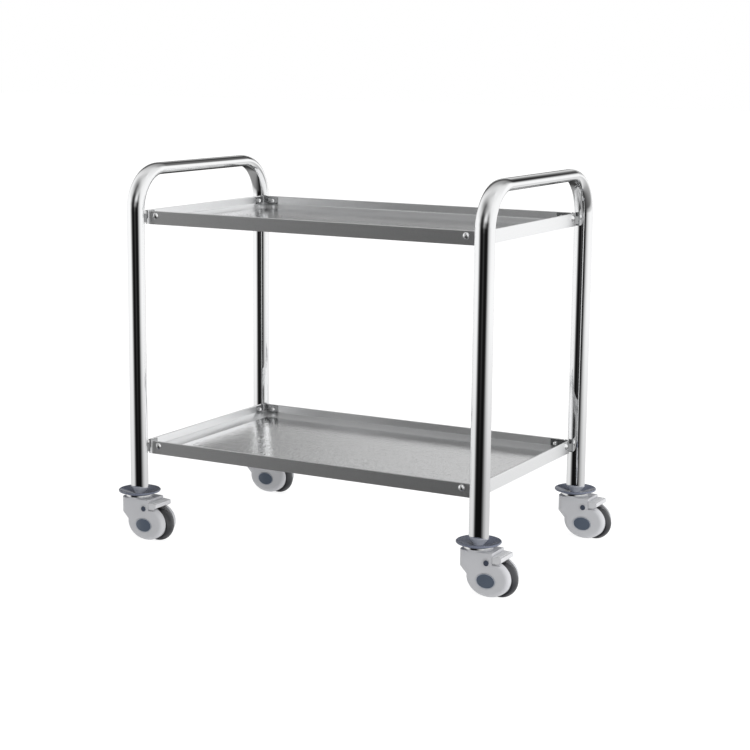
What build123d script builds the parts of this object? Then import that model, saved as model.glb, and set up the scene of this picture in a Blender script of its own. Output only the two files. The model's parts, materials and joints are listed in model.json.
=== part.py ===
"""Two-shelf stainless instrument cart on four braked swivel casters.

Millimetres, +Z up, +X along the cart's length. The cart stands on Z = 0 with the
origin under the middle of its bounding box. All four casters trail towards +X.
"""

import os
from math import sqrt

from build123d import *

# ---- Cart ----
leg_x = 433.0
leg_y = 263.0
overall_height = 860.0

# ---- End frames: one bent oval tube each, its wide side along X ----
tube_half_x = 22.5
tube_half_y = 13.5
tube_wall = 1.5
handle_bend_radius = 92.0
tube_end_z = 121.0

# ---- Trays ----
tray_half_x = 422.0
tray_half_y = 253.0
tray_corner_cut = 14.0
upper_rim_z = 757.0
lower_rim_z = 229.0
skirt_height = 30.0
hem_width = 4.0
sheet = 1.2
inner_wall_height = 18.0
slope_run = 30.0
slope_drop = 8.0
rim_round = 0.5

# ---- Corner brackets and their screws ----
bracket_sheet = 2.0
pad_half_width = 5.0
pad_low = 4.0
pad_high = 22.0
ear_height = 16.0
ear_below_rim = 1.5
long_ear_end_x = 374.0
short_ear_end_y = 214.0
long_screw_x = 386.0
short_screw_y = 226.0
screw_below_rim = 11.0
screw_head_radius = 7.5
screw_head_height = 4.2
screw_shank_radius = 2.5
nut_across_radius = 5.0
nut_height = 3.5
nut_dome_radius = 4.2
nut_dome_height = 3.4
nut_thread_radius = 2.5

# ---- Caster: heights from the floor, x measured back from the swivel axis ----
wheel_radius = 37.5
wheel_trail = 53.0
tyre_half_width = 14.0
tyre_crown = 5.0
rim_radius = 28.0
rim_band = 4.0
hub_radius = 14.0
hub_half_width = 14.5
web_half_width = 4.0
bearing_outer_radius = 11.0
bearing_width = 7.0
bearing_shoulder = 3.0
bearing_inset = 0.5
axle_radius = 4.0
axle_half_length = 23.0
running_gap = 0.06

cheek_half_width = 30.0
slot_half_width = 16.5
housing_front_x = -34.0
housing_top_z = 98.0
housing_step_x = 44.4
chin_z = 61.0
chin_end_x = -17.0
block_bottom_z = 43.0
recess_end_x = 70.0
lobe_x = 33.5
lobe_z = 43.0
lobe_half_x = 50.0
lobe_half_z = 40.5
cheek_recess = 3.6
front_web_bottom_z = 62.0
wheel_cavity_radius = 41.0
lever_cavity_top_z = 89.5
lever_cavity_front_x = 22.0
lobe_round = 10.0
front_round = 16.0
top_round = 1.5
boss_radius = 31.0
boss_top_z = 100.6

ring_radius = 31.7
ring_wall = 3.0
ring_floor = 2.0
ring_top_z = 105.2

stem_radius = 6.0
stem_head_radius = 9.0
stem_head_bottom_z = 82.0
stem_head_top_z = 85.6
stem_pocket_radius = 11.0
stem_pocket_top_z = 86.0
collar_radius = 9.0
collar_bottom_z = 103.0
cone_bottom_radius = 10.5
cone_bottom_z = 105.4
plug_length = 40.0
plug_gap = 0.1
plug_chamfer = 2.0

bumper_radius = 48.0
bumper_rim_z = 113.8
bumper_hub_radius = 16.0
bumper_hub_z = 105.1
bumper_thickness = 2.0
bumper_bore_radius = 9.3

badge_x = 31.0
badge_z = 38.0
badge_half_length = 21.5
badge_half_height = 16.0
badge_depth = 1.5
badge_crown = 1.3
badge_gap = 0.3

pivot_x = 32.0
pivot_z = 77.0
pivot_pin_radius = 3.0
pivot_cap_radius = 6.2
pivot_cap_thickness = 1.4
pivot_cap_round = 0.85
pivot_boss_radius = 8.2
pivot_boss_height = 0.8

pedal_half_width = 30.0
pedal_front_x = 45.2
pedal_rear_x = 65.5
pedal_top_z = 92.2
pedal_fall = 1.6
pedal_plate = 4.0
pedal_skirt_bottom_z = 77.5
pedal_skirt_end_x = 58.5
pedal_travel = 4.2
pedal_skirt = 3.0
pedal_lip = 3.0
pedal_lip_bottom_z = 81.5
pedal_round = 1.2
pedal_rib = 1.0
pedal_rib_spacing = 5.0
pedal_rib_count = 3
lever_half_width = 9.0
lever_eye_radius = 7.5
shoe_half_width = 11.0
shoe_length = 14.0
shoe_gap = 3.8
shoe_thickness = 2.5
shoe_start_x = 48.0
eye_gap = 1.1
arm_overlap = 0.5

# ---- Worked out from the sizes above ----
handle_z = overall_height - tube_half_y
centre_shift = (bumper_radius - (wheel_trail + wheel_radius)) / 2

far_out = 200.0

CORNERS = {
    "front_left": (-1, -1),
    "front_right": (1, -1),
    "rear_left": (-1, 1),
    "rear_right": (1, 1),
}


def block(x0, x1, y0, y1, z0, z1):
    """Box between two corners."""
    solid = Box(x1 - x0, y1 - y0, z1 - z0)
    return Pos((x0 + x1) / 2, (y0 + y1) / 2, (z0 + z1) / 2) * solid


def upright(radius, z0, z1, x=0.0, y=0.0):
    """Cylinder along Z between two heights."""
    return Pos(x, y, (z0 + z1) / 2) * Cylinder(radius, z1 - z0)


def crosswise(radius, y0, y1, x, z):
    """Cylinder along Y between two stations."""
    solid = Cylinder(radius, y1 - y0, rotation=(90, 0, 0))
    return Pos(x, (y0 + y1) / 2, z) * solid


def revolved(points):
    """Ring or disc turned about Z from (radius, height) points."""
    profile = Plane.XZ * make_face(Polyline(*points, close=True))
    return revolve(profile, Axis.Z, 360)


def save(shape, name):
    """Write one node, moved from the legs' centre to the part's origin."""
    placed = Pos(centre_shift, 0, 0) * shape
    placed.label = name
    export_step(placed, f"parts/{name}.step")


# ---- End frames ----
def tube_oval(inset):
    """Oval that follows the tube's outer surface at a distance inside it."""
    return Ellipse(tube_half_x - inset, tube_half_y - inset)


def end_frame(side):
    """Inverted U of oval tube: two legs and the handle bar between them."""
    x = side * leg_x
    path = FilletPolyline(
        (x, -leg_y, tube_end_z),
        (x, -leg_y, handle_z),
        (x, leg_y, handle_z),
        (x, leg_y, tube_end_z),
        radius=handle_bend_radius,
    )
    start = Plane((x, -leg_y, tube_end_z), x_dir=(1, 0, 0), z_dir=(0, 0, 1))
    return sweep(start * (tube_oval(0) - tube_oval(tube_wall)), path=path)


# ---- Trays ----
def tray_outline(inset, z):
    """Rectangle with cut corners, moved in from the skirt's outer face."""
    hx = tray_half_x - inset
    hy = tray_half_y - inset
    cut = max(tray_corner_cut - inset * (2 - sqrt(2)), 1.0)
    quarter = [(hx, hy - cut), (hx - cut, hy)]
    points = quarter + [(-px, py) for px, py in reversed(quarter)]
    points += [(-px, -py) for px, py in points]
    return Pos(0, 0, z) * make_face(Polyline(*points, close=True))


def tray_ring(outer_inset, inner_inset, z0, z1):
    """Upright band of sheet that follows the tray's outline."""
    band = tray_outline(outer_inset, z0) - tray_outline(inner_inset, z0)
    return extrude(band, z1 - z0)


def tray_pan(inset, drop, rim_z):
    """Solid between the fold and the floor, used twice to leave one sheet."""
    fold = tray_outline(inset, rim_z - inner_wall_height)
    floor = tray_outline(inset + slope_run, rim_z - inner_wall_height - drop)
    return loft([fold, floor])


def tray(rim_z):
    """Folded sheet tray: skirt, hem, inner wall, sloped band and floor."""
    hem = tray_ring(0, hem_width, rim_z - sheet, rim_z)
    hem = fillet(hem.edges().group_by(Axis.Z)[-1], rim_round)
    skirt = tray_ring(0, sheet, rim_z - skirt_height, rim_z - sheet)
    inner_skin = hem_width - sheet
    fold_z = rim_z - inner_wall_height
    wall = tray_ring(inner_skin, hem_width, fold_z, rim_z - sheet)
    pan = tray_pan(inner_skin, slope_drop + sheet, rim_z) - tray_pan(hem_width, slope_drop, rim_z)
    body = hem + skirt + wall + pan
    reach = tray_corner_cut + hem_width * (sqrt(2) - 1)
    notch_x = tray_half_x - reach
    notch_y = tray_half_y - reach
    for sx, sy in CORNERS.values():
        at = Pos(sx * (notch_x + reach), sy * (notch_y + reach), rim_z)
        opening = at * Box(2 * reach, 2 * reach, 3 * skirt_height)
        keep_pan = tray_outline(hem_width, fold_z)
        pan_zone = Pos(0, 0, -skirt_height) * extrude(keep_pan, skirt_height)
        body -= opening - pan_zone
    return body - tray_screw_holes(rim_z)


def corner_screws():
    """Place and outward direction of the two screws at each corner."""
    for sx, sy in CORNERS.values():
        yield sx * long_screw_x, sy * tray_half_y, 0, sy
        yield sx * tray_half_x, sy * short_screw_y, sx, 0


def outward(x, y, z, nx, ny):
    """Frame on a tray's side whose Z points straight out of the cart."""
    return Plane((x, y, z), x_dir=(0, 0, 1), z_dir=(nx, ny, 0))


def tray_screw_holes(rim_z):
    """Clearance holes through the skirt and the inner wall."""
    z = rim_z - screw_below_rim
    hole = Pos(0, 0, -hem_width) * Cylinder(screw_shank_radius, 4 * hem_width)
    holes = [outward(x, y, z, nx, ny) * hole for x, y, nx, ny in corner_screws()]
    return Compound(holes)


# ---- Corner brackets and fasteners ----
def corner_bracket(rim_z):
    """Diagonal web on the leg, with an ear inside each tray wall."""
    low = rim_z - skirt_height
    mid_x = tray_half_x - tray_corner_cut / 2
    mid_y = tray_half_y - tray_corner_cut / 2
    web_width = tray_corner_cut * sqrt(2) - rim_round
    web = Rot(0, 0, 45) * block(0, bracket_sheet, -web_width / 2, web_width / 2, 0, skirt_height)
    web = Pos(mid_x, mid_y, low) * web
    leg_gap = sqrt((leg_x - mid_x) ** 2 + (leg_y - mid_y) ** 2)
    pad = Rot(0, 0, 45) * block(0, leg_gap, -pad_half_width, pad_half_width, pad_low, pad_high)
    pad = Pos(mid_x, mid_y, low) * pad
    inner_y = tray_half_y - hem_width
    inner_x = tray_half_x - hem_width
    ear_top = rim_z - ear_below_rim
    ear_low = ear_top - ear_height
    bend = tray_corner_cut - hem_width - 1.25 * bracket_sheet
    bend_x = tray_half_x - bend
    bend_y = tray_half_y - bend
    long_ear = block(long_ear_end_x, bend_x, inner_y - bracket_sheet, inner_y, ear_low, ear_top)
    short_ear = block(inner_x - bracket_sheet, inner_x, short_ear_end_y, bend_y, ear_low, ear_top)
    corner = web + long_ear + short_ear + pad
    corner -= Pos(leg_x, leg_y, low) * extrude(tube_oval(0), skirt_height)
    for x, y, nx, ny in ((long_screw_x, tray_half_y, 0, 1), (tray_half_x, short_screw_y, 1, 0)):
        hole = Pos(0, 0, -hem_width) * Cylinder(screw_shank_radius, 4 * hem_width)
        corner -= outward(x, y, rim_z - screw_below_rim, nx, ny) * hole
    return corner


def corner_brackets(rim_z):
    """The four brackets of one tray, mirrored into place."""
    corner = corner_bracket(rim_z)
    pair = [corner, mirror(corner, Plane.YZ)]
    return Compound(pair + [mirror(item, Plane.XZ) for item in pair])


def dome(radius, height):
    """Spherical cap standing on Z = 0."""
    ball = (radius**2 + height**2) / (2 * height)
    cap = Pos(0, 0, height - ball) * Sphere(ball)
    return cap & upright(radius + 1, 0, height + 1)


def tray_screws(rim_z):
    """Dome-head screws from outside."""
    length = hem_width + bracket_sheet + nut_height
    shank = upright(screw_shank_radius - running_gap, -length, 0)
    screw = dome(screw_head_radius, screw_head_height) + shank
    z = rim_z - screw_below_rim
    return Compound([outward(x, y, z, nx, ny) * screw for x, y, nx, ny in corner_screws()])


def tray_nuts(rim_z):
    """Dome nuts on the ears, inside the tray walls."""
    seat = -(hem_width + bracket_sheet)
    flats = extrude(RegularPolygon(nut_across_radius, 6), nut_height)
    nut = flats + Pos(0, 0, nut_height) * dome(nut_dome_radius, nut_dome_height)
    nut -= upright(nut_thread_radius, 0, nut_height)
    nut = Pos(0, 0, seat) * Rot(180, 0, 0) * nut
    z = rim_z - screw_below_rim
    return Compound([outward(x, y, z, nx, ny) * nut for x, y, nx, ny in corner_screws()])


# ---- Caster pieces, each about the swivel axis ----
def leg_socket():
    """Tapered socket: plug in the leg, bumper collar and swivel stem."""
    plug = Pos(0, 0, tube_end_z) * extrude(tube_oval(tube_wall + plug_gap), plug_length)
    plug = chamfer(plug.edges().group_by(Axis.Z)[-1], plug_chamfer)
    shoulder_z = tube_end_z - tube_wall
    shoulder = Pos(0, 0, shoulder_z) * extrude(tube_oval(0), tube_wall)
    cone_bottom = Pos(0, 0, cone_bottom_z) * Circle(cone_bottom_radius)
    cone = loft([cone_bottom, Pos(0, 0, shoulder_z) * tube_oval(0)])
    profile = [
        (0, cone_bottom_z),
        (collar_radius, cone_bottom_z),
        (collar_radius, collar_bottom_z),
        (stem_radius, collar_bottom_z),
        (stem_radius, stem_head_top_z),
        (stem_head_radius, stem_head_top_z),
        (stem_head_radius, stem_head_bottom_z),
        (0, stem_head_bottom_z),
    ]
    return plug + shoulder + cone + revolved(profile)


def bumper_disc():
    """Shallow dished disc, free to turn on the socket's collar."""
    edge = bumper_thickness
    profile = [
        (bumper_bore_radius, bumper_hub_z),
        (bumper_hub_radius, bumper_hub_z),
        (bumper_radius - edge, bumper_rim_z),
        (bumper_radius - edge / 2, bumper_rim_z),
        (bumper_radius, bumper_rim_z - edge / 2),
        (bumper_radius, bumper_rim_z - 1.5 * edge),
        (bumper_radius - edge / 2, bumper_rim_z - 2 * edge),
        (bumper_hub_radius, bumper_hub_z - bumper_thickness),
        (bumper_bore_radius, bumper_hub_z - bumper_thickness),
    ]
    return revolved(profile)


def swivel_ring():
    """Polished bearing cup on top of the housing."""
    top = ring_top_z
    low = boss_top_z
    profile = [
        (stem_radius + running_gap, low),
        (ring_radius, low),
        (ring_radius, top - 1),
        (ring_radius - 1, top),
        (ring_radius - ring_wall, top),
        (ring_radius - ring_wall, low + ring_floor),
        (stem_radius + running_gap, low + ring_floor),
    ]
    return revolved(profile)


def cheek_lobe():
    """Rounded lower body: both cheeks as one smooth oval solid."""
    outline = Pos(lobe_x, lobe_z) * Ellipse(lobe_half_x, lobe_half_z)
    body = extrude(Plane.XZ * outline, cheek_half_width, both=True)
    rims = [edge for edge in body.edges() if on_cheek_face(edge)]
    return fillet(rims, lobe_round)


def on_cheek_face(edge):
    """True for an edge that lies in a cheek's outer face."""
    return abs(abs(edge.center().Y) - cheek_half_width) < 0.01


def upper_block():
    """Squarer top of the housing, with a slanted chin at the front."""
    outline = Polyline(
        (housing_front_x, chin_z),
        (housing_front_x, housing_top_z),
        (housing_step_x, housing_top_z),
        (housing_step_x, block_bottom_z),
        (chin_end_x, block_bottom_z),
        close=True,
    )
    body = extrude(Plane.XZ * make_face(outline), cheek_half_width, both=True)
    front = [edge for edge in body.edges() if on_cheek_face(edge) and edge.center().X < chin_end_x]
    body = fillet(front, front_round)
    return fillet(body.edges().group_by(Axis.Z)[-1], top_round)


def caster_housing():
    """Moulded housing: two thick cheeks, front web, roof and bearing boss."""
    body = cheek_lobe() + upper_block()
    body += upright(boss_radius, housing_top_z - 2, boss_top_z)
    slot = block(-far_out, far_out, -slot_half_width, slot_half_width, 0, front_web_bottom_z)
    slot += crosswise(wheel_cavity_radius, -slot_half_width, slot_half_width, wheel_trail, wheel_radius)
    slot += block(
        lever_cavity_front_x, far_out, -slot_half_width, slot_half_width, wheel_radius, lever_cavity_top_z
    )
    body -= slot
    body -= upright(stem_radius + running_gap, 0, far_out)
    body -= upright(stem_pocket_radius, 0, stem_pocket_top_z)
    for side_y in (-1, 1):
        y0, y1 = sorted((side_y * far_out, side_y * (cheek_half_width - cheek_recess)))
        body -= block(housing_step_x, recess_end_x, y0, y1, pedal_skirt_bottom_z - pedal_travel, far_out)
        body += pivot_boss(side_y)
        body -= badge_shape(side_y, badge_gap)
    body -= crosswise(axle_radius, -axle_half_length, axle_half_length, wheel_trail, wheel_radius)
    body -= crosswise(pivot_pin_radius, -far_out, far_out, pivot_x, pivot_z)
    return body


def pivot_boss(side_y):
    """Low raised ring around the pedal pivot."""
    y0, y1 = sorted((side_y * slot_half_width, side_y * (cheek_half_width + pivot_boss_height)))
    return crosswise(pivot_boss_radius, y0, y1, pivot_x, pivot_z)


def badge_shape(side_y, gap):
    """Oval plug sunk in the cheek; gap makes the pocket that receives it."""
    oval = Ellipse(badge_half_length + gap, badge_half_height + gap)
    seat = cheek_half_width - badge_depth
    plug = extrude(oval, badge_depth + badge_crown)
    plane = Plane((badge_x, side_y * seat, badge_z), x_dir=(1, 0, 0), z_dir=(0, side_y, 0))
    return plane * plug


def badges():
    """Plain crowned oval caps, one on each cheek."""
    crown_radius = (badge_half_length**2 + badge_crown**2) / (2 * badge_crown)
    crown = Sphere(crown_radius)
    caps = []
    for side_y in (-1, 1):
        top = side_y * (cheek_half_width + badge_crown - crown_radius)
        caps.append(badge_shape(side_y, 0) & Pos(badge_x, top, badge_z) * crown)
    return Compound(caps)


def axle():
    """Wheel axle, held in blind bores in both cheeks."""
    return crosswise(axle_radius, -axle_half_length, axle_half_length, wheel_trail, wheel_radius)


def pivot_pin():
    """Pedal pivot pin with a cap on each end."""
    reach = cheek_half_width + pivot_boss_height
    pin = crosswise(pivot_pin_radius, -reach, reach, pivot_x, pivot_z)
    for side_y in (-1, 1):
        y0, y1 = sorted((side_y * reach, side_y * (reach + pivot_cap_thickness)))
        cap = crosswise(pivot_cap_radius, y0, y1, pivot_x, pivot_z)
        rim = cap.edges().sort_by(Axis.Y)[0 if side_y < 0 else -1]
        pin += fillet(rim, pivot_cap_round)
    return pin


def about_axle(points):
    """Turn (radius, y) points about the wheel axle."""
    profile = make_face(Polyline(*points, close=True))
    return Pos(wheel_trail, 0, wheel_radius) * revolve(profile, Axis.Y, 360)


def tyre():
    """Rounded soft tread on the wheel's rim."""
    w = tyre_half_width
    shoulder = wheel_radius - tyre_crown
    tread = ThreePointArc((shoulder, -w), (wheel_radius, 0), (shoulder, w))
    right = Line((shoulder, w), (rim_radius, w))
    base = Line((rim_radius, w), (rim_radius, -w))
    left = Line((rim_radius, -w), (shoulder, -w))
    profile = make_face([tread, right, base, left])
    return Pos(wheel_trail, 0, wheel_radius) * revolve(profile, Axis.Y, 360)


def wheel_core():
    """Rim, web and hub, with a pocket for a bearing at each side."""
    w = tyre_half_width
    band = rim_radius - rim_band
    pocket = hub_half_width - bearing_width - bearing_inset
    profile = [
        (rim_radius, -w),
        (rim_radius, w),
        (band, w),
        (band - 1, web_half_width),
        (hub_radius, web_half_width),
        (hub_radius, hub_half_width),
        (bearing_outer_radius, hub_half_width),
        (bearing_outer_radius, pocket),
        (bearing_outer_radius - bearing_shoulder, pocket),
        (bearing_outer_radius - bearing_shoulder, -pocket),
        (bearing_outer_radius, -pocket),
        (bearing_outer_radius, -hub_half_width),
        (hub_radius, -hub_half_width),
        (hub_radius, -web_half_width),
        (band - 1, -web_half_width),
        (band, -w),
    ]
    return about_axle(profile)


def wheel_bearings():
    """Two ball bearings, drawn as plain rings."""
    inner = axle_radius + running_gap
    outer = bearing_outer_radius
    far = hub_half_width - bearing_inset
    near = far - bearing_width
    rings = []
    for side_y in (-1, 1):
        stations = (side_y * near, side_y * far)
        points = [(inner, stations[0]), (outer, stations[0]), (outer, stations[1]), (inner, stations[1])]
        rings.append(about_axle(points))
    return Compound(rings)


def brake_pedal():
    """Ribbed foot plate with side skirts, lip and lever arm to the pivot."""
    w = pedal_half_width
    under = pedal_top_z - pedal_fall - pedal_plate
    outline = Polyline(
        (pedal_front_x, pedal_skirt_bottom_z),
        (pedal_front_x, pedal_top_z),
        (pedal_rear_x, pedal_top_z - pedal_fall),
        (pedal_rear_x, pedal_lip_bottom_z),
        (pedal_skirt_end_x, pedal_skirt_bottom_z),
        close=True,
    )
    shell = extrude(Plane.XZ * make_face(outline), w, both=True)
    upper = [edge for edge in shell.edges() if edge.center().Z > under]
    shell = fillet(upper, pedal_round)
    inside = w - pedal_skirt
    shell -= block(0, pedal_rear_x - pedal_lip, -inside, inside, 0, under)
    shell -= block(0, far_out, -inside, inside, 0, pedal_lip_bottom_z)
    first_rib = (pedal_front_x + pedal_rear_x) / 2 - pedal_rib_spacing
    for index in range(pedal_rib_count):
        rib = Cylinder(pedal_rib, 2 * inside, rotation=(90, 0, 0))
        shell += Pos(first_rib + index * pedal_rib_spacing, 0, pedal_top_z - pedal_fall / 2) * rib
    pedal = shell + lever_arm(under)
    return pedal - crosswise(pivot_pin_radius + running_gap, -w, w, pivot_x, pivot_z)


def lever_arm(under):
    """Arm from the plate's underside to the pivot eye, clear of the wheel."""
    face = make_face(
        Polyline(
            (pivot_x, pivot_z + lever_eye_radius),
            (pedal_front_x + pedal_lip, under + arm_overlap),
            (pedal_rear_x - 2 * pedal_lip, under + arm_overlap),
            (pedal_rear_x - 2 * pedal_lip, under - pedal_lip),
            (pivot_x + pivot_pin_radius, pivot_z - pivot_pin_radius),
            close=True,
        )
    )
    w = lever_half_width
    arm = extrude(Plane.XZ * face, w, both=True)
    arm -= crosswise(wheel_radius + shoe_gap, -w, w, wheel_trail, wheel_radius)
    eye = crosswise(lever_eye_radius, -w, w, pivot_x, pivot_z)
    eye -= crosswise(wheel_radius + eye_gap, -w, w, wheel_trail, wheel_radius)
    return arm + eye - shoe_pocket()


def shoe_pocket():
    """Space of the brake shoe: a curved pad over the top of the tyre."""
    w = shoe_half_width
    pad = crosswise(wheel_radius + shoe_gap + shoe_thickness, -w, w, wheel_trail, wheel_radius)
    pad -= crosswise(wheel_radius + shoe_gap, -w, w, wheel_trail, wheel_radius)
    return pad & block(shoe_start_x, shoe_start_x + shoe_length, -w, w, wheel_radius, far_out)


def brake_shoe():
    """Rubber pad bonded under the lever."""
    return shoe_pocket()


CASTER_PIECES = {
    "leg_socket": leg_socket,
    "bumper_disc": bumper_disc,
    "swivel_ring": swivel_ring,
    "caster_housing": caster_housing,
    "badges": badges,
    "axle": axle,
    "pivot_pin": pivot_pin,
    "tyre": tyre,
    "wheel_core": wheel_core,
    "wheel_bearings": wheel_bearings,
    "brake_pedal": brake_pedal,
    "brake_shoe": brake_shoe,
}


def main():
    os.makedirs("parts", exist_ok=True)
    save(end_frame(-1), "left_end_frame")
    save(end_frame(1), "right_end_frame")
    for level, rim_z in (("upper", upper_rim_z), ("lower", lower_rim_z)):
        save(tray(rim_z), f"{level}_tray")
        save(corner_brackets(rim_z), f"{level}_corner_brackets")
        save(tray_screws(rim_z), f"{level}_tray_screws")
        save(tray_nuts(rim_z), f"{level}_tray_nuts")
    for piece, make in CASTER_PIECES.items():
        shape = make()
        for corner, (sx, sy) in CORNERS.items():
            save(Pos(sx * leg_x, sy * leg_y, 0) * shape, f"{corner}_{piece}")


main()
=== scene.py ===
"""Looks of the two-shelf instrument cart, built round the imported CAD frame.

Metres, +Z up, +X along the cart. Bent tubes and folded trays are modelled here with
their real bends, and each badge gets a raised rim. Every other node keeps its CAD shape
and gets its finish here.
"""
import json
from math import acos, cos, pi, radians, sin, sqrt, tan

import bmesh
import bpy
from mathutils import Matrix, Vector


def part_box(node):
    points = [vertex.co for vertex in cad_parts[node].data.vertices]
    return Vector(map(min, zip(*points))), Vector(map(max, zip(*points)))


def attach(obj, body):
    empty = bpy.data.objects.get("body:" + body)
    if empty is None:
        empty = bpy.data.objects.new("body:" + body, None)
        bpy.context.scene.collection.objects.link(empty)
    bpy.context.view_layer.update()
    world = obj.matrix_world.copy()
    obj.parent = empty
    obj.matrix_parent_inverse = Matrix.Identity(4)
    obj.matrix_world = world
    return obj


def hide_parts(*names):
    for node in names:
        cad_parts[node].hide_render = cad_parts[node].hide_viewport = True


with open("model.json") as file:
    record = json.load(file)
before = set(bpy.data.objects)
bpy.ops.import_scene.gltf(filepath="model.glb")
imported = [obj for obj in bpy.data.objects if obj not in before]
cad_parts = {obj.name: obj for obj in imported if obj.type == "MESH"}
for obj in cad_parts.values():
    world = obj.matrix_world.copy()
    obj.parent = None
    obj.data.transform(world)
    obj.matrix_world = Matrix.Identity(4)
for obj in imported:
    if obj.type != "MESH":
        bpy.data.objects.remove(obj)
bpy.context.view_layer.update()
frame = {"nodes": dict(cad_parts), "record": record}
NODES = frame["nodes"]

# ---- Camera ----
CAMERA_PLACE = (1.93244, -3.51349, 1.11796)
CAMERA_YAW = 28.574
CAMERA_PITCH = -10.379
CAMERA_ROLL = 0.521
CAMERA_LENS = 85.38
CAMERA_SENSOR = 36.0

# ---- Key light ----
KEY_PLACE = (4.2, -0.6, 2.0)
KEY_SIZE = 3.0
KEY_POWER = 110.0

# ---- End frames ----
FRAME_LOW, FRAME_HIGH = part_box("left_end_frame")
TUBE_HALF_X = (FRAME_HIGH[0] - FRAME_LOW[0]) / 2
TUBE_HALF_Y = 0.0135
TUBE_WALL = 0.0015
HANDLE_BEND = 0.092
TUBE_SIDES = 72
TUBE_SHARP_ANGLE = 40
BEND_STEPS = 30
HOLD = 0.0006  # from each end of a bend to the point that keeps the straight part straight

# ---- Trays ----
SHEET = 0.0012
SKIRT = 0.030
HEM = 0.004
INNER_WALL = 0.018
SLOPE_RUN = 0.030
SLOPE_DROP = 0.008
CORNER_CUT = 0.014
LEAST_CUT = 0.001
RIM_BEND = 0.0011
WALL_BEND = 0.0030
FLOOR_BEND = 0.0100
FLOOR_MARGIN = 0.010
FOLD_STEPS = 6
OUTLINE_CORNERS = 8
TRAY_SHARP_ANGLE = 35
LEVEL_ENOUGH = 0.99  # upward part of a floor face's normal

# ---- Casters ----
CORNERS = ("front_left", "front_right", "rear_left", "rear_right")
RIM_WIRE = 0.0006
RIM_STEPS = 64
WIRE_SIDES = 8
RIM_SHARP_ANGLE = 60

# ---- Finishes ----
WHITE = (1, 1, 1, 1)
STEEL_TINT = (0.96, 0.965, 0.97)
STEEL_SHADE = 0.96  # darkest patch, as a share of the tint
MARK_BAND = (0.3, 0.7)  # noise values between which the tone changes
TONE_SCALE = 0.02  # as a share of the grain's scale
ROUGHNESS_BELOW = 0.05
ROUGHNESS_ABOVE = 0.08
COAT_ROUGHNESS = 0.08
GRAIN_RELIEF = 0.08
GRAIN_DEPTH = 0.0003
EDGE_SAMPLES = 6

# ---- Floor ----
FLOOR_SIZE = 60
FLOOR_GREY = (0.35, 0.35, 0.35, 1)
FLOOR_ROUGHNESS = 0.9
FLOOR_GLOW = 0.88


# ---- Mesh helpers ----
def new_object(name, mesh_data):
    """Object made of the mesh data, linked to the scene."""
    mesh = bpy.data.meshes.new(name)
    mesh_data.to_mesh(mesh)
    mesh_data.free()
    piece = bpy.data.objects.new(name, mesh)
    bpy.context.collection.objects.link(piece)
    return piece


def smooth(piece, angle):
    """Smooth faces, with every edge that turns more than the angle kept sharp."""
    work = bmesh.new()
    work.from_mesh(piece.data)
    for face in work.faces:
        face.smooth = True
    for edge in work.edges:
        if len(edge.link_faces) == 2:
            edge.smooth = edge.calc_face_angle(0.0) < radians(angle)
    work.to_mesh(piece.data)
    work.free()


def corner_arc(before, corner, after, radius, steps):
    """Points of the arc that rounds a corner, with a holding point at each side."""
    toward = (before - corner).normalized()
    onward = (after - corner).normalized()
    half = acos(max(-1.0, min(1.0, toward.dot(onward)))) / 2
    reach = radius / tan(half)
    centre = corner + (toward + onward).normalized() * (radius / sin(half))
    first = corner + toward * reach
    last = corner + onward * reach
    points = [first + toward * HOLD]
    start = first - centre
    end = last - centre
    sweep = pi - 2 * half
    for step in range(steps + 1):
        t = step / steps
        blend = (start * sin((1 - t) * sweep) + end * sin(t * sweep)) / sin(sweep)
        points.append(centre + blend)
    points.append(last + onward * HOLD)
    return points


def rounded_path(corners, radii, steps):
    """Path through the corners with the inner ones rounded."""
    path = [corners[0]]
    for before, corner, after, radius in zip(corners, corners[1:], corners[2:], radii):
        path += corner_arc(before, corner, after, radius, steps)
    path.append(corners[-1])
    return path


def bridge(work, first, second):
    """Faces between two rings of vertices."""
    for index in range(len(first)):
        after = (index + 1) % len(first)
        work.faces.new((first[index], first[after], second[after], second[index]))


def finish_piece(piece, materials, node):
    """Fixed piece that stands for a CAD node of the frame."""
    for material in materials:
        piece.data.materials.append(material)
    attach(piece, "root")
    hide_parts(node)


# ---- End frames ----
def tube_row(work, place, across, half_x, half_y):
    """One oval ring of vertices; across is the tube's thin direction."""
    row = []
    for side in range(TUBE_SIDES):
        turn = 2 * pi * side / TUBE_SIDES
        wide = Vector((half_x * cos(turn), 0, 0))
        row.append(work.verts.new(place + wide + across * half_y * sin(turn)))
    return row


def tube_skin(work, path, half_x, half_y):
    """Oval skin along the tube's centre line; returns its end rings."""
    rows = []
    for index, place in enumerate(path):
        before = path[max(index - 1, 0)]
        after = path[min(index + 1, len(path) - 1)]
        along = (after - before).normalized()
        across = along.cross(Vector((1, 0, 0)))
        rows.append(tube_row(work, place, across, half_x, half_y))
    for first, second in zip(rows, rows[1:]):
        bridge(work, first, second)
    return rows[0], rows[-1]


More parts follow.
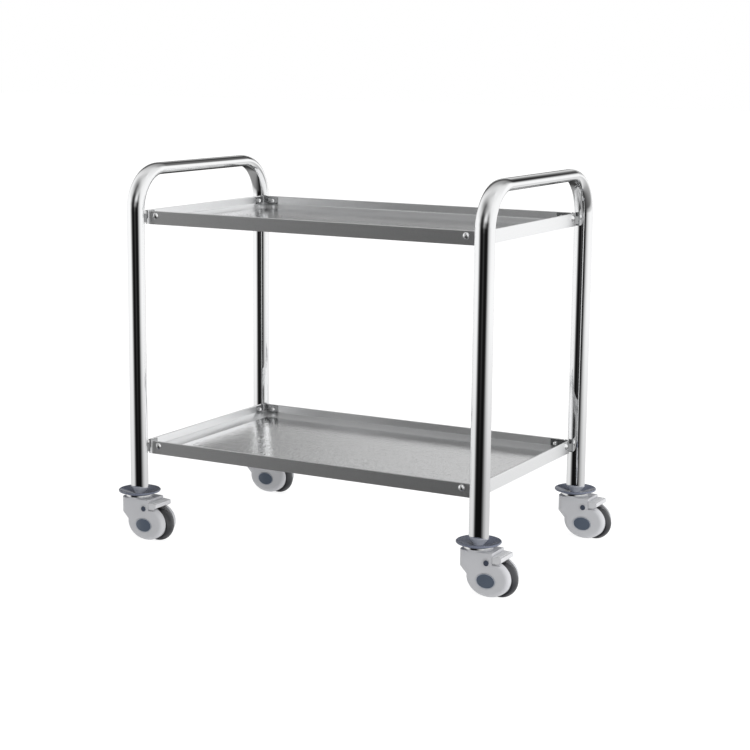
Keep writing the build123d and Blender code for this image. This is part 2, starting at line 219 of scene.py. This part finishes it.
def end_frame(side):
    """Polished tube bent into two legs and a handle bar."""
    node = f"{side}_end_frame"
    low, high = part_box(node)
    x = (low[0] + high[0]) / 2
    leg_y = high[1] - TUBE_HALF_Y
    bar_z = high[2] - TUBE_HALF_Y
    corners = [Vector((x, -leg_y, low[2])), Vector((x, -leg_y, bar_z)),
               Vector((x, leg_y, bar_z)), Vector((x, leg_y, low[2]))]
    path = rounded_path(corners, [HANDLE_BEND, HANDLE_BEND], BEND_STEPS)
    work = bmesh.new()
    outside = tube_skin(work, path, TUBE_HALF_X, TUBE_HALF_Y)
    inside = tube_skin(work, path, TUBE_HALF_X - TUBE_WALL, TUBE_HALF_Y - TUBE_WALL)
    for outer, inner in zip(outside, inside):
        bridge(work, outer, inner)
    bmesh.ops.recalc_face_normals(work, faces=work.faces)
    piece = new_object(f"{side}_bent_tube", work)
    smooth(piece, TUBE_SHARP_ANGLE)
    finish_piece(piece, [FRAME_STEEL], node)


# ---- Trays ----
def tray_profile():
    """Sheet's middle line as (inset, height): skirt, hem, inner wall, slope and floor."""
    half = SHEET / 2
    inner = HEM - half
    floor_z = -INNER_WALL - SLOPE_DROP - half
    slope_end = HEM + SLOPE_RUN
    corners = [(half, -SKIRT), (half, -half), (inner, -half), (inner, -INNER_WALL - half),
               (slope_end, floor_z), (slope_end + FLOOR_MARGIN, floor_z)]
    corners = [Vector((inset, height, 0)) for inset, height in corners]
    return rounded_path(corners, [RIM_BEND, RIM_BEND, WALL_BEND, FLOOR_BEND], FOLD_STEPS)


def sheet_skin(work, path, outline, offset):
    """Rows of vertices at one side of the sheet's middle line."""
    rows = []
    for index, point in enumerate(path):
        along = (path[min(index + 1, len(path) - 1)] - path[max(index - 1, 0)]).normalized()
        moved = point + Vector((along.y, -along.x, 0)) * offset
        rows.append([work.verts.new(place) for place in outline(moved.x, moved.y)])
    return rows


def sheet_faces(work, skins, corner_from):
    """Faces of the sheet. Its corners are notched in the rows before corner_from."""
    last = len(skins[0]) - 1
    for side in range(OUTLINE_CORNERS):
        after = (side + 1) % OUTLINE_CORNERS
        start = 0 if side % 2 == 0 else corner_from
        for index in range(start, last):
            for rows in skins:
                row, below = rows[index], rows[index + 1]
                work.faces.new((row[side], row[after], below[after], below[side]))
        top, under = skins[0][start], skins[1][start]
        work.faces.new((top[side], top[after], under[after], under[side]))
        for index in range(corner_from):
            work.faces.new((skins[0][index][side], skins[0][index + 1][side],
                            skins[1][index + 1][side], skins[1][index][side]))
    for rows in skins:
        work.faces.new(rows[last])


def tray(level):
    """Folded tray: bent skirt, hem and inner wall, sloped band and grained floor."""
    node = f"{level}_tray"
    low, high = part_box(node)
    middle = (low[0] + high[0]) / 2
    half_x = (high[0] - low[0]) / 2
    half_y = (high[1] - low[1]) / 2

    def outline(inset, height):
        """The eight corners of the tray's outline: two along each side."""
        cut = max(CORNER_CUT - inset * (2 - sqrt(2)), LEAST_CUT)
        notch = CORNER_CUT + HEM * (sqrt(2) - 1)
        end_x = half_x - max(notch, inset + cut)
        end_y = half_y - max(notch, inset + cut)
        px = half_x - inset
        py = half_y - inset
        z = high[2] + height
        places = [(px, -end_y), (px, end_y), (end_x, py), (-end_x, py),
                  (-px, end_y), (-px, -end_y), (-end_x, -py), (end_x, -py)]
        return [(middle + x, y, z) for x, y in places]

    path = tray_profile()
    work = bmesh.new()
    skins = [sheet_skin(work, path, outline, offset) for offset in (SHEET / 2, -SHEET / 2)]
    corner_from = next(index for index, point in enumerate(path) if point.x > HEM)
    sheet_faces(work, skins, corner_from)
    bmesh.ops.recalc_face_normals(work, faces=work.faces)
    piece = new_object(f"{level}_folded_tray", work)
    smooth(piece, TRAY_SHARP_ANGLE)
    floor_x = half_x - HEM - SLOPE_RUN
    floor_y = half_y - HEM - SLOPE_RUN
    for face in piece.data.polygons:
        inside = abs(face.center.x - middle) < floor_x and abs(face.center.y) < floor_y
        face.material_index = 1 if inside and face.normal.z > LEVEL_ENOUGH else 0
    finish_piece(piece, [TRAY_STEEL, FLOOR_STEEL], node)


# ---- Casters ----
def badge_rims(corner):
    """Light raised rim round each of a caster's two oval badges."""
    low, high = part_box(f"{corner}_badges")
    centre_x = (low[0] + high[0]) / 2
    centre_z = (low[2] + high[2]) / 2
    work = bmesh.new()
    for y in (low[1] + RIM_WIRE, high[1] - RIM_WIRE):
        rows = []
        for step in range(RIM_STEPS):
            turn = 2 * pi * step / RIM_STEPS
            row = []
            for side in range(WIRE_SIDES):
                lift = 2 * pi * side / WIRE_SIDES
                half_x = (high[0] - low[0]) / 2 - RIM_WIRE * (1 - cos(lift))
                half_z = (high[2] - low[2]) / 2 - RIM_WIRE * (1 - cos(lift))
                row.append(work.verts.new((centre_x + half_x * cos(turn), y + RIM_WIRE * sin(lift),
                                           centre_z + half_z * sin(turn))))
            rows.append(row)
        for first, second in zip(rows, rows[1:] + rows[:1]):
            bridge(work, first, second)
    bmesh.ops.recalc_face_normals(work, faces=work.faces)
    piece = new_object(f"{corner}_badge_rims", work)
    smooth(piece, RIM_SHARP_ANGLE)
    piece.data.materials.append(BADGE_RIM)
    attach(piece, f"{corner}_caster")


# ---- Shader helpers ----
def new_material(name):
    """Material with a Principled shader joined to its output."""
    material = bpy.data.materials.new(name)
    material.use_nodes = True
    tree = material.node_tree
    tree.nodes.clear()
    output = tree.nodes.new("ShaderNodeOutputMaterial")
    shader = tree.nodes.new("ShaderNodeBsdfPrincipled")
    tree.links.new(shader.outputs["BSDF"], output.inputs["Surface"])
    return material, tree, shader


def object_place(tree, scale=(1, 1, 1)):
    """Object coordinates, stretched by scale."""
    place = tree.nodes.new("ShaderNodeTexCoord")
    mapping = tree.nodes.new("ShaderNodeMapping")
    mapping.inputs["Scale"].default_value = scale
    tree.links.new(place.outputs["Object"], mapping.inputs["Vector"])
    return mapping.outputs["Vector"]


def noise(tree, place, scale, detail=4.0, roughness=0.55):
    """Noise value at each place."""
    node = tree.nodes.new("ShaderNodeTexNoise")
    node.inputs["Scale"].default_value = scale
    node.inputs["Detail"].default_value = detail
    node.inputs["Roughness"].default_value = roughness
    tree.links.new(place, node.inputs["Vector"])
    return node.outputs["Fac"]


def ramp(tree, value, stops):
    """Colour ramp through (position, grey or colour) stops."""
    node = tree.nodes.new("ShaderNodeValToRGB")
    bar = node.color_ramp
    while len(bar.elements) < len(stops):
        bar.elements.new(0.5)
    for element, (position, colour) in zip(bar.elements, stops):
        element.position = position
        element.color = (*colour, 1) if isinstance(colour, tuple) else (colour, colour, colour, 1)
    tree.links.new(value, node.inputs["Fac"])
    return node.outputs["Color"]


def spread(tree, value, low, high, start=0.0, end=1.0):
    """The value, moved from start..end to low..high."""
    node = tree.nodes.new("ShaderNodeMapRange")
    node.interpolation_type = "SMOOTHSTEP" if (start, end) != (0.0, 1.0) else "LINEAR"
    node.inputs["From Min"].default_value = start
    node.inputs["From Max"].default_value = end
    node.inputs["To Min"].default_value = low
    node.inputs["To Max"].default_value = high
    tree.links.new(value, node.inputs["Value"])
    return node.outputs["Result"]


def calculate(tree, kind, first, second):
    """One step of arithmetic; a float is set on its socket, a value is joined to it."""
    node = tree.nodes.new("ShaderNodeMath")
    node.operation = kind
    for socket, value in zip(node.inputs, (first, second)):
        if isinstance(value, float):
            socket.default_value = value
        else:
            tree.links.new(value, socket)
    return node.outputs["Value"]


def mixed(tree, share, first, second):
    """first where share is 0, second where it is 1."""
    node = tree.nodes.new("ShaderNodeMix")
    node.data_type = "RGBA"
    tree.links.new(share, node.inputs["Factor"])
    tree.links.new(first, node.inputs["A"])
    tree.links.new(second, node.inputs["B"])
    return node.outputs["Result"]


def bump(tree, shader, height, strength, distance, edge=0.0):
    """Relief from the height, over edges that catch light as if rounded by edge."""
    node = tree.nodes.new("ShaderNodeBump")
    node.inputs["Strength"].default_value = strength
    node.inputs["Distance"].default_value = distance
    tree.links.new(height, node.inputs["Height"])
    tree.links.new(node.outputs["Normal"], shader.inputs["Normal"])
    if edge:
        rounded = tree.nodes.new("ShaderNodeBevel")
        rounded.samples = EDGE_SAMPLES
        rounded.inputs["Radius"].default_value = edge
        tree.links.new(rounded.outputs["Normal"], node.inputs["Normal"])


# ---- Materials ----
def steel(name, tint, smoothest, dullest, grain=(1, 1, 1), scale=60.0, relief=0.02, depth=0.0004,
          metal=1.0, edge=0.0):
    """Stainless steel: patchy polish, and relief that follows the same grain."""
    material, tree, shader = new_material(name)
    shader.inputs["Metallic"].default_value = metal
    place = object_place(tree, grain)
    marks = noise(tree, place, scale)
    dark = tuple(c * STEEL_SHADE for c in tint)
    stops = list(zip(MARK_BAND, (dark, tint)))
    tree.links.new(ramp(tree, marks, stops), shader.inputs["Base Color"])
    tree.links.new(spread(tree, marks, smoothest, dullest), shader.inputs["Roughness"])
    bump(tree, shader, marks, relief, depth, edge)
    return material


def plastic(name, colour, rough, speckle=0.03, scale=900.0, coat=0.0, edge=0.0009):
    """Moulded plastic with a fine spark-eroded grain."""
    material, tree, shader = new_material(name)
    place = object_place(tree)
    tone = noise(tree, place, scale * TONE_SCALE)
    dark = tuple(c * (1 - speckle) for c in colour)
    light = tuple(min(c * (1 + speckle), 1) for c in colour)
    stops = list(zip(MARK_BAND, (dark, light)))
    tree.links.new(ramp(tree, tone, stops), shader.inputs["Base Color"])
    grain = noise(tree, place, scale)
    roughness = spread(tree, grain, rough - ROUGHNESS_BELOW, rough + ROUGHNESS_ABOVE)
    tree.links.new(roughness, shader.inputs["Roughness"])
    shader.inputs["Coat Weight"].default_value = coat
    shader.inputs["Coat Roughness"].default_value = COAT_ROUGHNESS
    bump(tree, shader, grain, GRAIN_RELIEF, GRAIN_DEPTH, edge)
    return material


FRAME_STEEL = steel("frame_steel", STEEL_TINT, 0.01, 0.04, grain=(1, 1, 0.05), relief=0.004, depth=0.0002)
TRAY_STEEL = steel("tray_steel", STEEL_TINT, 0.28, 0.36, scale=300.0, relief=0.01, metal=0.97)
FLOOR_STEEL = steel("floor_steel", STEEL_TINT, 0.05, 0.12, grain=(1, 0.35, 1), scale=150.0, relief=1.0,
                    depth=0.0007)
# Dark tint: a painted dark reflection, the dark band the bracket shows between tube and tray.
BRACKET_STEEL_PAINTED_DARK_REFLECTION = steel("bracket_steel", (0.36, 0.365, 0.37), 0.10, 0.22, scale=120.0, edge=0.0006)
SMALL_STEEL = steel("small_steel", (0.90, 0.905, 0.91), 0.04, 0.10, edge=0.0005)
# Light blue-grey tint on a half-diffuse finish: a painted blue-grey highlight standing in for the chrome
# socket's bright reflection.
SOCKET_STEEL_PAINTED_HIGHLIGHT = steel("socket_steel", (0.86, 0.88, 0.92), 0.14, 0.24, scale=160.0, metal=0.5)
HOUSING = plastic("housing_grey", (0.50, 0.505, 0.525), 0.36, coat=0.25, edge=0.0016)
PEDAL = plastic("pedal_grey", (0.54, 0.545, 0.56), 0.36, coat=0.25)
BUMPER = plastic("bumper_blue_grey", (0.125, 0.14, 0.19), 0.20, coat=0.5)
BADGE = plastic("badge_slate", (0.085, 0.105, 0.14), 0.18, coat=0.7)
BADGE_RIM = plastic("badge_rim_grey", (0.42, 0.45, 0.50), 0.25, coat=0.5, edge=0.0003)
PIN = plastic("pin_dark", (0.05, 0.06, 0.085), 0.22, coat=0.4)
TYRE = plastic("tyre_grey", (0.026, 0.027, 0.031), 0.36, coat=0.15)
CORE = plastic("wheel_grey", (0.40, 0.40, 0.41), 0.45)
SHOE = plastic("shoe_black", (0.02, 0.02, 0.02), 0.6)

SLOT_MATERIALS = {
    "frame_tube": FRAME_STEEL,
    "tray_sheet": TRAY_STEEL,
    "bracket_steel": BRACKET_STEEL_PAINTED_DARK_REFLECTION,
    "fastener": SMALL_STEEL,
    "socket_steel": SOCKET_STEEL_PAINTED_HIGHLIGHT,
    "bumper_plastic": BUMPER,
    "ring_steel": FRAME_STEEL,
    "housing_plastic": HOUSING,
    "badge_plastic": BADGE,
    "axle_steel": SMALL_STEEL,
    "pin_plastic": PIN,
    "tyre_rubber": TYRE,
    "wheel_plastic": CORE,
    "bearing_steel": SMALL_STEEL,
    "pedal_plastic": PEDAL,
    "shoe_rubber": SHOE,
}


def paint_nodes():
    """Each CAD node takes the finish of its material slot."""
    for entry in frame["record"]["subparts"]:
        mesh = NODES[entry["node"]].data
        mesh.materials.clear()
        mesh.materials.append(SLOT_MATERIALS[entry["material_slot"]])


# ---- Camera, floor and light ----
def add_camera():
    """Camera turned by yaw, pitch and roll, from one that looks along +Y."""
    yaw, pitch, roll = radians(CAMERA_YAW), radians(CAMERA_PITCH), radians(CAMERA_ROLL)
    ahead = Vector((-sin(yaw) * cos(pitch), cos(yaw) * cos(pitch), sin(pitch)))
    level = Vector((cos(yaw), sin(yaw), 0))
    above = level.cross(ahead)
    right = level * cos(roll) + above * sin(roll)
    up = above * cos(roll) - level * sin(roll)
    data = bpy.data.cameras.new("camera")
    data.lens = CAMERA_LENS
    data.sensor_width = CAMERA_SENSOR
    camera = bpy.data.objects.new("camera", data)
    turned = Matrix((right, up, -ahead)).transposed().to_4x4()
    camera.matrix_world = Matrix.Translation(CAMERA_PLACE) @ turned
    bpy.context.collection.objects.link(camera)
    bpy.context.scene.camera = camera


def add_floor():
    """Pale floor, lit a little from itself so that only contact shadows stay."""
    bpy.ops.mesh.primitive_plane_add(size=FLOOR_SIZE)
    floor = bpy.context.object
    floor.name = "floor"
    material, _, shader = new_material("floor_white")
    shader.inputs["Base Color"].default_value = FLOOR_GREY
    shader.inputs["Roughness"].default_value = FLOOR_ROUGHNESS
    shader.inputs["Specular IOR Level"].default_value = 0.0
    shader.inputs["Emission Color"].default_value = WHITE
    shader.inputs["Emission Strength"].default_value = FLOOR_GLOW
    floor.data.materials.append(material)
    floor.visible_glossy = False


def add_key():
    """Large soft light from the cart's right, which the polished steel doesn't mirror."""
    data = bpy.data.lights.new("key", "AREA")
    data.shape = "SQUARE"
    data.size = KEY_SIZE
    data.energy = KEY_POWER
    key = bpy.data.objects.new("key", data)
    key.location = KEY_PLACE
    key.rotation_euler = (-Vector(KEY_PLACE)).to_track_quat("-Z", "Y").to_euler()
    key.visible_glossy = False
    bpy.context.collection.objects.link(key)


# Brightness of the light tent round the cart, in degrees from -Y towards +X. Each ring
# belongs to one height, the sine of its angle above the floor.
TENT_RINGS = [
    (-0.45, [(-180, 0.80), (-170, 0.50), (-163, 0.05), (-142, 0.05), (-120, 0.30), (-60, 0.25), (-20, 0.02),
             (0, 0.02), (60, 0.20), (120, 0.40), (165, 0.80), (180, 0.80)]),
    (-0.26, [(-180, 0.80), (-173, 0.50), (-167, 0.02), (-140, 0.02), (-134, 0.65), (-60, 0.75), (-48, 0.55),
             (-40, 0.12), (-32, 0.005), (8, 0.005), (20, 0.15), (32, 0.40), (60, 0.65), (150, 0.68),
             (180, 0.80)]),
    (-0.13, [(-180, 0.95), (-173, 0.80), (-167, 0.03), (-143, 0.03), (-137, 0.95), (-58, 1.00), (-50, 0.90),
             (-44, 0.48), (-38, 0.10), (-32, 0.005), (-20, 0.01), (-13, 0.045), (-6, 0.01), (8, 0.005),
             (15, 0.06), (21, 0.35), (30, 0.66), (42, 0.85), (60, 1.00), (150, 1.00), (180, 0.95)]),
    (0.04, [(-180, 0.95), (-170, 0.80), (-163, 0.04), (-140, 0.04), (-130, 0.60), (-110, 1.00), (-58, 1.00),
            (-50, 0.90), (-44, 0.48), (-38, 0.10), (-32, 0.005), (-22, 0.01), (-13, 0.10), (-6, 0.02),
            (8, 0.005), (15, 0.06), (21, 0.35), (30, 0.66), (42, 0.85), (60, 1.00), (150, 1.00),
            (180, 0.95)]),
    (0.22, [(-180, 0.45), (-158, 0.70), (-151, 0.60), (-146, 0.30), (-140, 0.12), (-128, 0.12), (-118, 0.60),
            (-100, 1.00), (-60, 1.00), (-52, 0.75), (-44, 0.30), (-36, 0.02), (-24, 0.03), (-14, 0.40),
            (-4, 0.20), (6, 0.02), (16, 0.10), (24, 0.45), (36, 0.90), (60, 1.00), (160, 1.00), (172, 0.50),
            (180, 0.45)]),
    (0.42, [(-180, 0.02), (-155, 0.04), (-143, 0.05), (-128, 0.10), (-116, 0.80), (-90, 0.95), (-56, 0.70),
            (-42, 0.12), (-34, 0.02), (-24, 0.10), (-12, 0.85), (0, 0.70), (8, 0.20), (18, 0.40), (30, 0.85),
            (60, 1.00), (158, 1.00), (168, 0.30), (176, 0.02), (180, 0.02)]),
    (0.75, [(-180, 0.30), (-150, 0.40), (-100, 0.80), (-64, 0.35), (-40, 0.12), (-20, 0.35), (0, 0.60),
            (30, 0.90), (90, 1.00), (150, 0.80), (180, 0.30)]),
    (0.97, [(-180, 0.80), (-60, 0.60), (60, 0.90), (180, 0.80)]),
]


def tent_light(tree, turn, height):
    """Colour of the tent: the rings, faded into each other by height."""
    colour = None
    below = None
    for sine, stops in TENT_RINGS:
        ring = ramp(tree, turn, [(angle / 360 + 0.5, grey) for angle, grey in stops])
        if colour is None:
            colour = ring
        else:
            colour = mixed(tree, spread(tree, height, 0.0, 1.0, below, sine), colour, ring)
        below = sine
    return colour


def add_world():
    """Soft white light tent, open and dark on the camera's side and high behind."""
    world = bpy.data.worlds.new("studio")
    bpy.context.scene.world = world
    world.use_nodes = True
    world.cycles.sampling_method = "NONE"
    tree = world.node_tree
    tree.nodes.clear()
    output = tree.nodes.new("ShaderNodeOutputWorld")
    place = tree.nodes.new("ShaderNodeTexCoord")
    split = tree.nodes.new("ShaderNodeSeparateXYZ")
    tree.links.new(place.outputs["Generated"], split.inputs["Vector"])
    front = calculate(tree, "MULTIPLY", split.outputs["Y"], -1.0)
    turn = calculate(tree, "ARCTAN2", split.outputs["X"], front)
    # From -180..180 degrees to the ramps' 0..1.
    turn = calculate(tree, "MULTIPLY_ADD", turn, 1 / (2 * pi))
    turn.node.inputs[2].default_value = 0.5
    light = tree.nodes.new("ShaderNodeBackground")
    tree.links.new(tent_light(tree, turn, split.outputs["Z"]), light.inputs["Color"])
    plain = tree.nodes.new("ShaderNodeBackground")
    path = tree.nodes.new("ShaderNodeLightPath")
    mix = tree.nodes.new("ShaderNodeMixShader")
    plain.inputs["Color"].default_value = WHITE
    tree.links.new(path.outputs["Is Camera Ray"], mix.inputs["Fac"])
    tree.links.new(light.outputs["Background"], mix.inputs[1])
    tree.links.new(plain.outputs["Background"], mix.inputs[2])
    tree.links.new(mix.outputs["Shader"], output.inputs["Surface"])


paint_nodes()
for side in ("left", "right"):
    end_frame(side)
for level in ("upper", "lower"):
    tray(level)
for corner in CORNERS:
    badge_rims(corner)
add_camera()
add_floor()
add_key()
add_world()
bpy.context.scene.view_settings.view_transform = "Standard"
